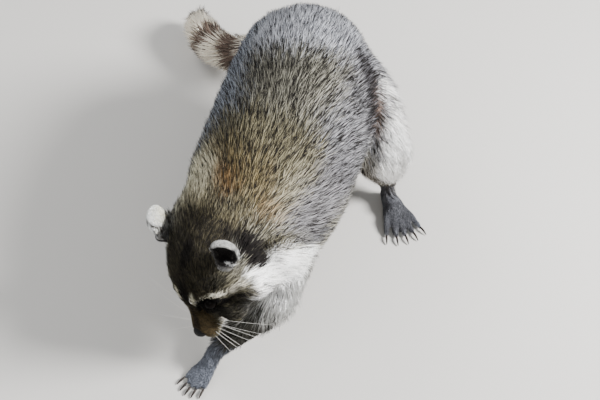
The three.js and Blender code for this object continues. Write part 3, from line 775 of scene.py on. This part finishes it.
# %% Which way the coat lies
HANG = 0.42  # how much the coat hangs beside lying back
EYE_PARTING = 19 * MM  # hair nearer to an eye than this turns away from it
WAVES = ((((61, 37, 29), (23, 71, 41), (47, 19, 83)), 0.12),  # and how strong each set is
         (((210, 330, 170), (290, 140, 390), (370, 260, 120)), 0.15))


def unit(vectors):
    return vectors / np.maximum(np.linalg.norm(vectors, axis=1, keepdims=True), 1e-9)


def flattened(way, normal):
    """The nearest direction that lies in the surface."""
    return unit(way - normal * (way * normal).sum(1, keepdims=True))


def lie_of_coat(points, weights, normal):
    """Front to rear along the body, down the legs, back from the nose, away from the eyes."""
    head, tail, ear = (region_share(weights, r)[:, None] for r in ("head", "tail", "ear"))
    lie = weights @ bone_lie
    lie = lie + 1.1 * head * unit(points - np.array(NOSE))
    lie = lie + np.array((0, 0, -HANG)) * (1 - tail - ear - 0.4 * head)
    for side in (1, -1):
        from_eye = points - eye_axes(side)[0]
        near = ease((EYE_PARTING - np.linalg.norm(from_eye, axis=1)) / (9 * MM))[:, None]
        lie = lie + 1.2 * near * unit(from_eye)
    for waves, strength in WAVES:
        wave = np.sin(points @ np.array(waves) + (0.3, 1.1, 2.3))
        lie = unit(lie) + strength * wave * (1 - 0.6 * head - 0.8 * ear)
    return flattened(lie, normal)


bone_lie = unit(bone_end - bone_start)


# %% Unwrap the skin for the map
PATCH = 0.003  # a lock's own patch of the map, across


def unwrap(places, bones):
    """Places on the skin laid out flat: one strip for each bone, round it and along it."""
    chosen = [BONE_NAMES.index(n) for n in bones]
    strip = bone_weights(places)[:, chosen].argmax(1)
    flat = np.zeros((len(places), 2))
    for k, bone in enumerate(chosen):
        mine = strip == k
        if not mine.any():
            continue
        axis = bone_lie[bone]
        side = np.cross(axis, (0.3, 0.1, 1.0))
        side /= np.linalg.norm(side)
        away = places[mine] - bone_start[bone]
        turn = np.arctan2(away @ np.cross(axis, side), away @ side) / (2 * math.pi) + 0.5
        along = away @ axis
        along = (along - along.min()) / max(np.ptp(along), 1e-6)
        flat[mine, 0] = (k + 0.02 + 0.96 * turn) / len(chosen)
        flat[mine, 1] = 0.01 + 0.98 * along
    return flat


# %% Turn root, middle and tip into blades
LOCK_FACES = np.array([(0, 2, 1), (0, 1, 4), (0, 4, 3), (1, 2, 5), (1, 5, 4), (2, 0, 3), (2, 3, 5),
                       (3, 4, 6), (4, 5, 6), (5, 3, 6)])
LOCK_SIDES = ((-0.5, 0.0), (0.5, 0.0), (0.0, 0.34))  # across and upwards, in widths
LOCK_MAP = np.array([(-1, -1), (1, -1), (0, -1), (-0.8, 0.2), (0.8, 0.2), (0, 0.2), (0, 1)])
LOCK_ALONG = (0.0, 0.0, 0.0, 0.5, 0.5, 0.5, 1.0)
ROOT_SHARE = 0.7  # a lock's width at its root beside its width in the middle
POINTS = len(LOCK_ALONG)


def blades(start, middle, tip, normal, bend, width):
    """The seven corners of each lock: a triangle at its root, one in the middle and the tip."""
    corners = np.empty((len(tip), POINTS, 3))
    rings = ((start, normal, ROOT_SHARE), (middle, bend, 1.0))
    for ring, (place, up, size) in enumerate(rings):
        across = unit(np.cross(up, unit(tip - start)))
        for k, (x, y) in enumerate(LOCK_SIDES):
            corners[:, 3 * ring + k] = place + (across * x + up * y) * (width * size)[:, None]
    corners[:, 6] = tip
    corners[:, :, 2] = np.maximum(corners[:, :, 2], 0.2 * MM)
    return corners


def mesh_of_locks(piece, corners, flat):
    """A piece of the scene with all these locks, and its map."""
    mesh = bpy.data.meshes.new(piece)
    first = np.arange(len(corners))[:, None, None] * POINTS
    faces = (first + LOCK_FACES).reshape(-1, 3)
    mesh.vertices.add(len(corners) * POINTS)
    mesh.vertices.foreach_set("co", corners.astype(np.float32).ravel())
    mesh.loops.add(len(faces) * 3)
    mesh.loops.foreach_set("vertex_index", faces.astype(np.int32).ravel())
    mesh.polygons.add(len(faces))
    mesh.polygons.foreach_set("loop_start", np.arange(0, len(faces) * 3, 3, dtype=np.int32))
    mesh.update(calc_edges=True)
    mesh.shade_smooth()
    flat = flat[:, None] * (1 - PATCH) + PATCH / 2 + LOCK_MAP * PATCH / 2
    layer = mesh.uv_layers.new(name="OFBake")
    layer.data.foreach_set("uv", flat.reshape(-1, 2)[faces.ravel()].astype(np.float32).ravel())
    return placed(piece, mesh)


# %% Grow the locks
LOCKS_IN_CLUMP = 9
CLUMPING = 0.55  # how far the tips of a clump come together
LEAST_RISE = {"middle": 0.06, "tip": 0.10}  # above the root's depth, in lengths
STRAYS = 0.12  # the share of hairs that stand past the outline
MIDDLE_LIMITS = ((-0.14, 0.36), (0.3, 0.6), (-0.16, 0.16))  # up, onwards and across, in lengths
TIP_LIMITS = ((-0.40, 0.62), (0.6, 1.1), (-0.32, 0.32))


def nearest_leader(root, rng):
    """For each lock, the lock in whose clump it stands."""
    leaders = rng.permutation(len(root))[: max(1, len(root) // LOCKS_IN_CLUMP)]
    tree = KDTree(len(leaders))
    for k in leaders:
        tree.insert(root[k], int(k))
    tree.balance()
    return np.array([tree.find(place)[1] for place in root])


def grow(piece, bones, density, slot, longer=1.0, proud=0.0, hang=0.0, near=None, seed=0):
    """One piece of the coat, on the skin of these bones."""
    rng = np.random.default_rng(seed)
    root = roots_on(bones, density, rng)
    if near:
        root = root[np.linalg.norm(root / MM - near[0], axis=1) < near[1]]
    count = len(root)
    weights, normal = bone_weights(root), outwards(root)
    depth = sampled(depth_grid, root)
    length = longer * (weights @ LOCK_LENGTH) * rng.uniform(0.7, 1.15, count)
    width = (weights @ LOCK_WIDTH) * rng.uniform(0.75, 1.25, count)
    lie = flattened(lie_of_coat(root, weights, normal) + np.array((0, 0, -hang)), normal)
    sideways = np.cross(normal, lie)
    lie = unit(lie + sideways * rng.normal(0, 0.20 if longer == 1 else 0.12, (count, 1)))

    # how deep the middle and the tip lie below the outline
    rise = rng.uniform(0.30, 0.60, count)
    tip_depth = depth * rng.uniform(0.0, 0.45, count)
    tip_depth = np.minimum(tip_depth, rng.uniform(-0.6, 5.0, count) * MM)
    loose = rng.random(count) < STRAYS
    tip_depth -= proud * MM * rng.uniform(0.2, 1.3, count)
    tip_depth -= loose * length * rng.uniform(0.02, 0.10, count) * (tip_depth < 2 * MM)
    tip_depth = np.minimum(tip_depth, depth - LEAST_RISE["tip"] * length)
    middle_depth = np.minimum(depth * (1 - rise), depth - LEAST_RISE["middle"] * length)
    middle = moved_to_depth(root + lie * (0.5 * length)[:, None], middle_depth, 2)
    bend = outwards(middle)
    tip = moved_to_depth(middle + flattened(lie, bend) * (0.5 * length)[:, None], tip_depth, 2)

    # no lock stands up, dives or turns off its way
    across = np.cross(normal, lie)
    for place, limits in ((middle, MIDDLE_LIMITS), (tip, TIP_LIMITS)):
        for way, (low, high) in zip((normal, lie, across), limits):
            part = ((place - root) * way).sum(1)
            place += way * (np.clip(part, low * length, high * length) - part)[:, None]

    # clumps, weaker in short fur
    leader = nearest_leader(root, rng)
    pull = CLUMPING * np.clip(length / (22 * MM), 0.3, 1) * rng.uniform(0.4, 1.3, count)
    pull = pull[:, None]
    tip += pull * (tip[leader] - tip - 0.25 * (root[leader] - root))
    middle += 0.3 * pull * (middle[leader] - middle)
    tip[:, 2] = np.maximum(tip[:, 2], 0.4 * MM)
    middle[:, 2] = np.maximum(middle[:, 2], 0.6 * MM)
    start = root - normal * np.minimum(depth * 0.1 + 0.3 * MM, 1.2 * MM)[:, None]
    coat = mesh_of_locks(piece, blades(start, middle, tip, normal, bend, width),
                         unwrap(root, bones))

    shown = middle * 0.6 + tip * 0.4 if longer == 1 else root * 0.5 + middle * 0.5
    band, dark = markings(shown, weights, normal, rng)
    chance = rng.random(count)
    tone = rng.random(count)[leader] * 0.55 + rng.random(count) * 0.45
    add_values(coat.data, band=np.repeat(band, POINTS, 0), dark_tips=np.repeat(dark, POINTS),
               along=np.tile(LOCK_ALONG, count), chance=np.repeat(chance, POINTS),
               tone=np.repeat(tone, POINTS), bare=np.zeros(count * POINTS))
    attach(coat, "root")
    print(f"{piece}: {count} locks, {len(coat.data.polygons)} triangles")
    return coat


# %% Grow the whole coat
coats = {piece: grow(piece, *plan, seed=20 + k) for k, (piece, plan) in enumerate(PIECES.items())}
print("coat:", sum(len(c.data.polygons) for c in coats.values()), "triangles")

# %% [markdown]
# ## The finish of hair and skin
# Materials are built from node trees. A small class writes their maths as plain expressions: a
# Value holds one socket, and adding or multiplying Values adds the Math nodes. The coat's material
# mixes, along each lock, the dark underfur, the pale band in the marking's colour and the black or
# pale tip. The same material covers the skin, at the height of its band, so no gap in the coat
# shows a stranger's colour.

# %% A small class for shader maths
class Value:
    """A socket of a material whose sums, products and limits add their own Math nodes."""

    def __init__(self, finish, socket):
        self.finish, self.socket = finish, socket

    def _math(self, operation, *values):
        return self.finish.node("ShaderNodeMath", {"operation": operation},
                                dict(enumerate(values)))

    def __add__(self, other):
        return self._math("ADD", self, other)

    def __sub__(self, other):
        return self._math("SUBTRACT", self, other)

    def __rsub__(self, other):
        return self._math("SUBTRACT", other, self)

    def __mul__(self, other):
        return self._math("MULTIPLY", self, other)

    __radd__, __rmul__ = __add__, __mul__

    def below(self, other):
        return self._math("LESS_THAN", self, other)

    def between(self, low, high):
        """A soft step: zero below the first value, one above the second."""
        return self.finish.node(
            "ShaderNodeMapRange", {"interpolation_type": "SMOOTHSTEP"},
            {"Value": self, "From Min": low, "From Max": high})


# %% A finish and its node tree
class Finish:
    """A material and its node tree."""

    def __init__(self, name):
        self.material = bpy.data.materials.new(name)
        self.material.use_nodes = True
        self.tree = self.material.node_tree
        self.shader = self.tree.nodes["Principled BSDF"]

    def node(self, kind, settings=None, inputs=None, output=0):
        """A new node with its settings made first and then its sockets set or linked."""
        node = self.tree.nodes.new(kind)
        for key, value in (settings or {}).items():
            setattr(node, key, value)
        self.link(node, inputs or {})
        return Value(self, node.outputs[output])

    def link(self, node, inputs):
        for key, value in inputs.items():
            socket = node.inputs[key]
            if isinstance(value, Value):
                self.tree.links.new(value.socket, socket)
            else:
                socket.default_value = (*value, 1) if socket.type == "RGBA" else value

    def read(self, name, colour=False):
        return self.node("ShaderNodeAttribute", {"attribute_name": name}, output=0 if colour else 2)

    def noise(self, scale, detail=3.0, rough=0.55, stretch=None):
        place = self.node("ShaderNodeTexCoord", output=3)
        if stretch:
            place = self.node("ShaderNodeMapping", {}, {"Vector": place, "Scale": stretch})
        return self.node("ShaderNodeTexNoise", {},
                         {"Vector": place, "Scale": scale, "Detail": detail, "Roughness": rough})

    def mix(self, share, first, second):
        return self.node("ShaderNodeMix", {"data_type": "RGBA", "clamp_factor": True},
                         {0: share, 6: first, 7: second}, output=2)

    def shade(self, colour, amount):
        """A colour made lighter or darker, hue kept."""
        return self.node("ShaderNodeVectorMath", {"operation": "SCALE"},
                         {0: colour, "Scale": amount})

    def bump(self, height, strength, distance):
        return self.node("ShaderNodeBump", {},
                         {"Height": height, "Strength": strength, "Distance": distance})

    def surface(self, **inputs):
        self.link(self.shader, {key.replace("_", " "): v for key, v in inputs.items()})
        return self.material


# %% The coat's finish
UNDERFUR = paint(84, 76, 68)
BLACK_TIP = paint(24, 20, 18)


def coat_finish(name, rough=0.72):
    hair = Finish(name)
    along, chance, dark = hair.read("along"), hair.read("chance"), hair.read("dark_tips")
    band = hair.read("band", colour=True)
    fine = hair.noise(420, 2)
    pale = hair.node("ShaderNodeRGBToBW", {}, {"Color": band}).between(0.55, 0.95) * 0.6
    shown = hair.mix(along.between(0.02, 0.40) * 0.85 + 0.15 + pale, UNDERFUR, band)
    tipped = chance.below(dark) * (along + (fine - 0.5) * 0.3).between(0.52, 0.80)
    shown = hair.mix(tipped, shown, BLACK_TIP)
    uneven = hair.read("tone") * 0.95 + 0.45 + (fine - 0.5) * 0.4
    shown = hair.shade(shown, uneven * (1 - pale) + pale * 1.12)
    bare = hair.read("bare")
    shown = hair.mix(bare, shown, paint(13, 11, 11))
    streaks = hair.noise(900, 3)
    return hair.surface(
        Base_Color=shown, Roughness=rough, Specular_IOR_Level=0.15,
        Normal=hair.bump(streaks, 0.35, 0.0006))


finishes = {slot: coat_finish(slot.replace("_", " "))
            for slot in dict.fromkeys(plan[2] for plan in PIECES.values())}
for piece, (_, _, slot, *_) in PIECES.items():
    coats[piece].data.materials.append(finishes[slot])
skin_mesh.materials.append(coat_finish("skin under the coat", rough=0.8))
print(len(finishes), "finishes of hair")

# %% [markdown]
# ## Eyes, nose and claws
# A raccoon's eye looks all black from a distance. Close by, it has a very dark brown iris around a
# round pupil, under a clear wet cornea that bulges a little. The ball is one mesh whose pole points
# along the gaze, so that distance from the pole draws pupil, iris and rim.

# %% Make the eyes
def turned_ball(name, rings, turns, shape):
    """A closed ball of rings about its axis.

    The shape gives a place for an angle from the pole and an angle round it."""
    points = [shape(0, 0)]
    for i in range(1, rings):
        points += [shape(math.pi * i / rings, 2 * math.pi * j / turns) for j in range(turns)]
    points.append(shape(math.pi, 0))
    last = len(points) - 1
    faces = []
    for j in range(turns):
        nxt = (j + 1) % turns
        faces.append((0, 1 + j, 1 + nxt))
        for i in range(rings - 2):
            low, high = 1 + i * turns, 1 + (i + 1) * turns
            faces.append((low + j, high + j, high + nxt, low + nxt))
        faces.append((last, last - turns + nxt, last - turns + j))
    return mesh_piece(name, points, faces)


def eye_shape(angle, turn):
    """A ball with the cornea's bulge round its pole."""
    bulge = EYE_RADIUS * (0.985 + 0.05 * math.exp(-((angle / CORNEA) ** 2)))
    return (bulge * math.sin(angle) * math.cos(turn), bulge * math.sin(angle) * math.sin(turn),
            bulge * math.cos(angle))


CORNEA, PUPIL, IRIS = 0.62, 0.34, 0.66  # angles from the pole

eye_finish = Finish("eye")
from_pole = eye_finish.read("from_pole")
iris = eye_finish.mix(eye_finish.noise(700, 4), paint(15, 9, 6), paint(7, 5, 4))
iris = eye_finish.mix(from_pole.between(IRIS, 0.80), iris, paint(8, 6, 5))
eye_colour = eye_finish.mix(from_pole.between(PUPIL, 0.38), paint(3, 3, 3), iris)
eye_finish.surface(Base_Color=eye_colour, Roughness=0.2, Specular_IOR_Level=0.0,
                   Coat_Weight=0.12, Coat_Roughness=0.03, Coat_IOR=1.34)
for name, side in SIDES.items():
    eye = turned_ball("eyeball_" + name, 40, 56, eye_shape)
    centre, gaze = eye_axes(side)[:2]
    turn = Vector(gaze).to_track_quat("Z", "Y").to_matrix().to_4x4()
    angle = [math.acos(max(-1, min(1, v.co.normalized().z))) for v in eye.data.vertices]
    add_values(eye.data, from_pole=angle)
    eye.data.transform(Matrix.Translation(Vector(centre)) @ turn)
    eye.data.materials.append(eye_finish.material)
    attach(eye, "root")
    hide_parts("eye_" + name)
print("eyes made")

# %% [markdown]
# The nose pad is bare black leather, broad on top, with a groove down its middle and two nostrils
# shaped like commas that open forwards and curl out to the sides. It is a ball pressed into shape.

# %% Make the nose
NOSE_PLACE = (0, -92.4, -28)  # in the head's frame, in millimetres
NOSE_SIZE = (8.8 * MM, 7.2 * MM, 6.8 * MM)
DEEPEST = 0.5  # of a nostril, in the pad's own size


def nose_shape(angle, turn):
    """A ball with a flat top, a groove and two nostrils that look along its axis."""
    ahead, right, up = (math.cos(angle), math.sin(angle) * math.cos(turn),
                        math.sin(angle) * math.sin(turn))
    flat = 1 - 0.10 * max(0, up) ** 2
    dent = 0
    for side in (1, -1):
        hole = math.hypot((right - side * 0.42) / 0.24, (up - 0.02) / 0.26)
        curl = math.hypot((right - side * 0.72) / 0.26, (up + 0.22) / 0.13)
        if ahead > -0.2:
            dent += 0.42 * math.exp(-hole**2 * 1.5) + 0.30 * math.exp(-curl**2 * 1.5)
    groove = 0.14 * math.exp(-((right / 0.08) ** 2)) * max(0, ahead) * (1 if up < 0.45 else 0.3)
    dent = min(dent, DEEPEST)
    wide = 1 + 0.12 * max(0, up)
    return (NOSE_SIZE[0] * right * (1 - dent * 0.4) * wide,
            -NOSE_SIZE[1] * ahead * (flat - dent - groove), NOSE_SIZE[2] * up * (1 - dent * 0.3))


nose_finish = Finish("nose leather")
pebbles = nose_finish.node("ShaderNodeTexVoronoi", {"feature": "F1"},
                           {"Vector": nose_finish.node("ShaderNodeTexCoord", output=3),
                            "Scale": 1500.0})
patchy = nose_finish.noise(260, 4)
nose_colour = nose_finish.mix(patchy, paint(3, 3, 3), paint(11, 10, 10))
nose_finish.surface(
    Base_Color=nose_colour, Roughness=patchy * 0.25 + 0.42, Specular_IOR_Level=0.2,
    Normal=nose_finish.bump(pebbles, 0.5, 0.0003))
nose = turned_ball("nose_pad", 64, 96, nose_shape)
nose.data.transform(head_frame @ Matrix.Translation(Vector(NOSE_PLACE) * MM))
nose.data.materials.append(nose_finish.material)
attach(nose, "root")
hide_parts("nose")
print("nose made:", len(nose.data.polygons), "faces")

# %% [markdown]
# The claws keep the frame's own shapes, which are right, and get a finish of dark horn. One
# modifier welds the doubled points at their edges and the next one rounds them, so the mesh that
# they came with isn't touched.

# %% Finish the claws
horn = Finish("claw horn")
streak = horn.noise(320, 3, stretch=(1, 1, 0.3))
horn_colour = horn.mix(streak.between(0.35, 0.7), paint(22, 18, 17), paint(54, 46, 42))
horn.surface(Base_Color=horn_colour, Roughness=streak * 0.2 + 0.42, Specular_IOR_Level=0.25,
             Normal=horn.bump(streak, 0.2, 0.0004))
claws = [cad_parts[n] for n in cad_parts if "claw" in n]
DOUBLED = 0.01 * MM  # points closer than this are one
for claw in claws:
    for held in claw.material_slots:
        held.material = horn.material
    claw.modifiers.new("closed", "WELD").merge_threshold = DOUBLED
    rounded = claw.modifiers.new("rounded", "SUBSURF")
    rounded.levels = rounded.render_levels = 2
print(len(claws), "claws")

# %% [markdown]
# ## Whiskers
# Long white whiskers spring from rows of dots on each side of the muzzle, with a few over the
# brows. Each is a tapered tube that leaves the lip outwards, bends back with the air and droops a
# little at its tip.

# %% Place the whiskers
WHISKERS = [  # root in the head's frame (mm), direction there, length (mm), how far the tip droops
    ((15, -84, -33), (0.88, -0.24, -0.30), 84, 0.22),
    ((16, -80, -35), (0.92, -0.04, -0.34), 92, 0.24),
    ((17, -76, -33), (0.94, 0.12, -0.26), 88, 0.20),
    ((16, -83, -38), (0.80, -0.26, -0.50), 66, 0.22),
    ((17, -77, -39), (0.82, 0.00, -0.54), 74, 0.22),
    ((17, -71, -37), (0.88, 0.20, -0.40), 78, 0.18),
    ((13, -88, -37), (0.78, -0.46, -0.30), 44, 0.18),
    ((20, -54, 20), (0.50, 0.10, 0.80), 30, 0.05),
    ((25, -52, 20), (0.66, 0.14, 0.70), 24, 0.05),
]


def tapered_tube(path, radii, sides=6):
    points, faces = [], []
    for i, (place, radius) in enumerate(zip(path, radii)):
        ahead = (path[min(i + 1, len(path) - 1)] - path[max(i - 1, 0)]).normalized()
        turn = ahead.to_track_quat("Z", "Y").to_matrix()
        for k in range(sides):
            angle = 2 * math.pi * k / sides
            points.append(place + turn @ Vector((math.cos(angle), math.sin(angle), 0)) * radius)
    for low in range(0, (len(path) - 1) * sides, sides):
        for k in range(sides):
            nxt = low + (k + 1) % sides
            faces.append((low + k, nxt, nxt + sides, low + k + sides))
    faces.append(tuple(reversed(range(sides))))
    faces.append(tuple(range((len(path) - 1) * sides, len(path) * sides)))
    return points, faces


# %% Make the whiskers
STEPS = [k / 14 for k in range(15)]  # along a whisker
WHISKER_RADIUS = 0.24 * MM
RAISED = 0.45  # how much more the right ones point up

rng = np.random.default_rng(3)
tube_points, tube_faces = [], []
head_turn = head_frame.to_3x3()
back = head_turn @ Vector((0, 1, 0))
for side in (1, -1):
    for place, way, length, droop in WHISKERS:
        start = Vector(on_head(side * place[0] * 0.8, *place[1:]))
        lift = 0 if side > 0 else RAISED
        way = head_turn @ Vector((side * way[0], way[1], way[2] + lift)).normalized()
        length *= MM * rng.uniform(1.1, 1.3)
        lean = rng.uniform(0.12, 0.3)
        path = [start + way * length * t + back * length * lean * t**2 for t in STEPS]
        for now, t in zip(path, STEPS):
            now.z = max(now.z - (droop + 0.05) * length * t**2.2, 1.5 * MM)
        points, faces = tapered_tube(path, [WHISKER_RADIUS * (1 - 0.8 * t) for t in STEPS])
        tube_faces += [tuple(i + len(tube_points) for i in f) for f in faces]
        tube_points += points
whiskers = mesh_piece("whiskers", [tuple(p) for p in tube_points], tube_faces)
whisker_finish = Finish("whisker")
whisker_colour = whisker_finish.mix(whisker_finish.noise(300, 2), paint(240, 238, 232),
                                    paint(206, 202, 196))
whisker_finish.surface(Base_Color=whisker_colour, Roughness=0.35)
whiskers.data.materials.append(whisker_finish.material)
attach(whiskers, "root")
print(len(WHISKERS) * 2, "whiskers")

# %% [markdown]
# ## Floor and light
# The animal stands on a plain pale floor. The light is a soft studio light: a strong lamp high on
# the animal's left, which lights its cheek and thigh, weaker ones on the other side and in front,
# and a pale sky all round. The thigh's sunlit white is painted into its coat as well.

# %% Lay the floor and set the lamps
FAR = 30  # the floor's half width
floor = mesh_piece("floor", [(-FAR, -FAR, 0), (FAR, -FAR, 0), (FAR, FAR, 0), (-FAR, FAR, 0)],
                   [(0, 1, 2, 3)])
floor_finish = Finish("pale floor")
floor.data.materials.append(floor_finish.surface(Base_Color=paint(206, 203, 198), Roughness=0.85))

LAMPS = {  # place, width, watts
    "key": ((1.75, 0.12, 1.3), 0.7, 142),
    "rim": ((-1.3, 0.9, 1.5), 1.2, 20),
    "fill": ((-1.4, -1.0, 1.5), 1.6, 12),
    "front": ((0.3, -1.9, 1.3), 1.4, 10),
}
LIT = Vector((0, -0.05, 0.1))  # where all lamps point
for name, (place, width, watts) in LAMPS.items():
    lamp = placed(name, bpy.data.lights.new(name, "AREA"))
    lamp.data.shape, lamp.data.size, lamp.data.energy = "DISK", width, watts
    lamp.location = place
    lamp.rotation_euler = (LIT - Vector(place)).to_track_quat("-Z", "Y").to_euler()
sky = bpy.data.worlds.new("pale sky")
sky.use_nodes = True
background = sky.node_tree.nodes["Background"].inputs
background["Color"].default_value = (0.86, 0.90, 0.95, 1)
background["Strength"].default_value = 0.45
bpy.context.scene.world = sky
print(len(LAMPS), "lamps")
